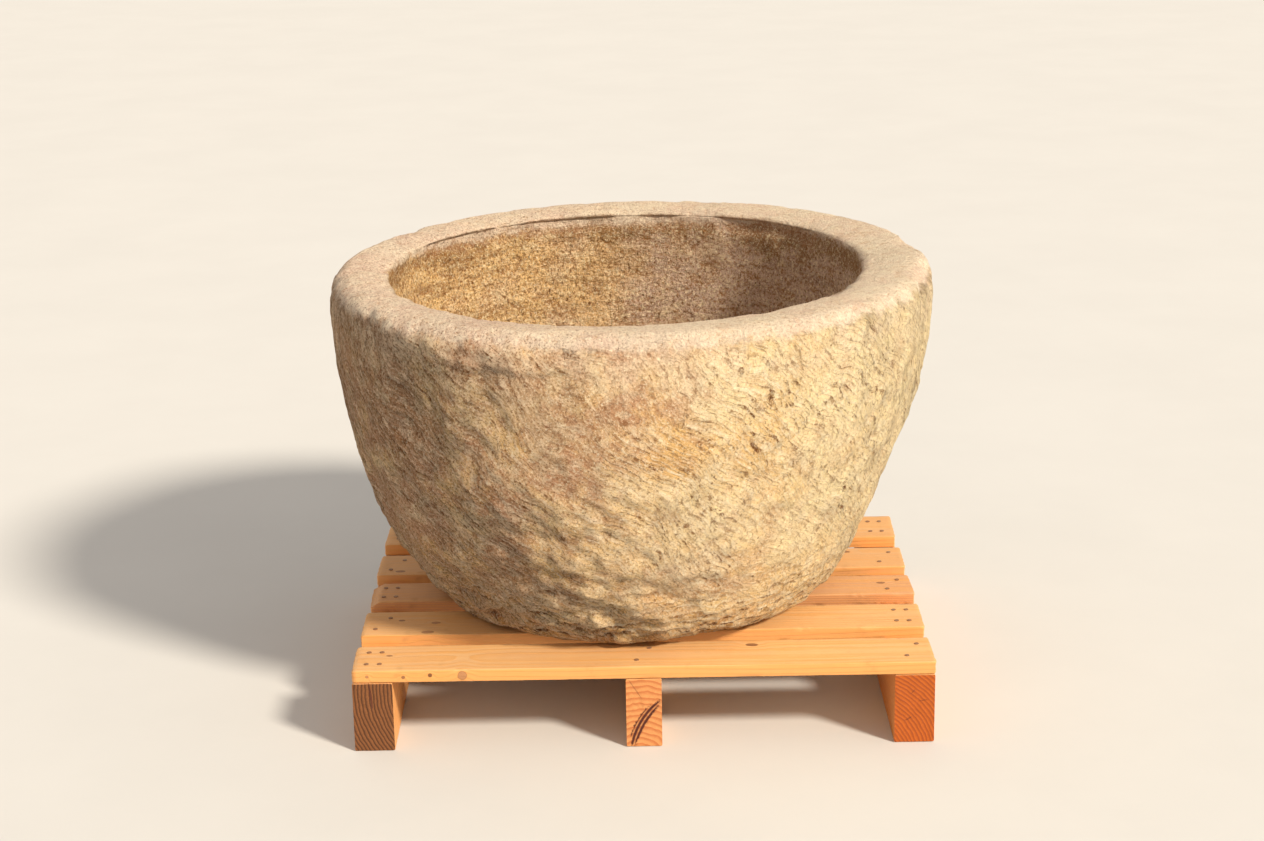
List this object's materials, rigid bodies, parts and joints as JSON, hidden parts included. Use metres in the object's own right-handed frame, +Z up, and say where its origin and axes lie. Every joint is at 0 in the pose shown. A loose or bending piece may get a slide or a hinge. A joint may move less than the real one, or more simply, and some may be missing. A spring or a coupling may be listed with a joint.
{
  "type": "baptismal font",
  "caption": "Round tub-shaped stone baptismal font with an open bowl and a plugged drain, resting on a timber pallet it lifts off.",
  "frame": {"origin": "on the floor under the font's axis; the pallet's centre lies 7 mm to the right of it and 41 mm in front", "axes": "+Z up, X along the deck boards, -Y towards the pallet's front, where the fork pockets between the skids open"},
  "size_m": [0.864, 0.864, 0.609],
  "materials": {
    "limestone": "rough-hewn, point-tooled, weathered",
    "turned_oak": "turned and oiled",
    "deck_softwood": "sawn, unfinished",
    "skid_softwood": "sawn, unfinished",
    "nail_steel": "dull, slightly rusted"
  },
  "bodies": {
    "pallet": {"deck_board_1": "deck_softwood", "deck_board_2": "deck_softwood", "deck_board_3": "deck_softwood", "deck_board_4": "deck_softwood", "deck_board_5": "deck_softwood", "skid_left": "skid_softwood", "skid_centre": "skid_softwood", "skid_right": "skid_softwood", "deck_nails": "nail_steel"},
    "font": {"font_basin": "limestone"},
    "plug": {"drain_plug": "turned_oak"}
  },
  "joints": [
    {"name": "font_lift", "type": "slide", "parent": "pallet", "child": "font", "axis": [0, 0, 1], "range_m": [0, 0.3]},
    {"name": "plug_lift", "type": "slide", "parent": "font", "child": "plug", "axis": [0, 0, 1], "range_m": [0, 0.45]}
  ]
}
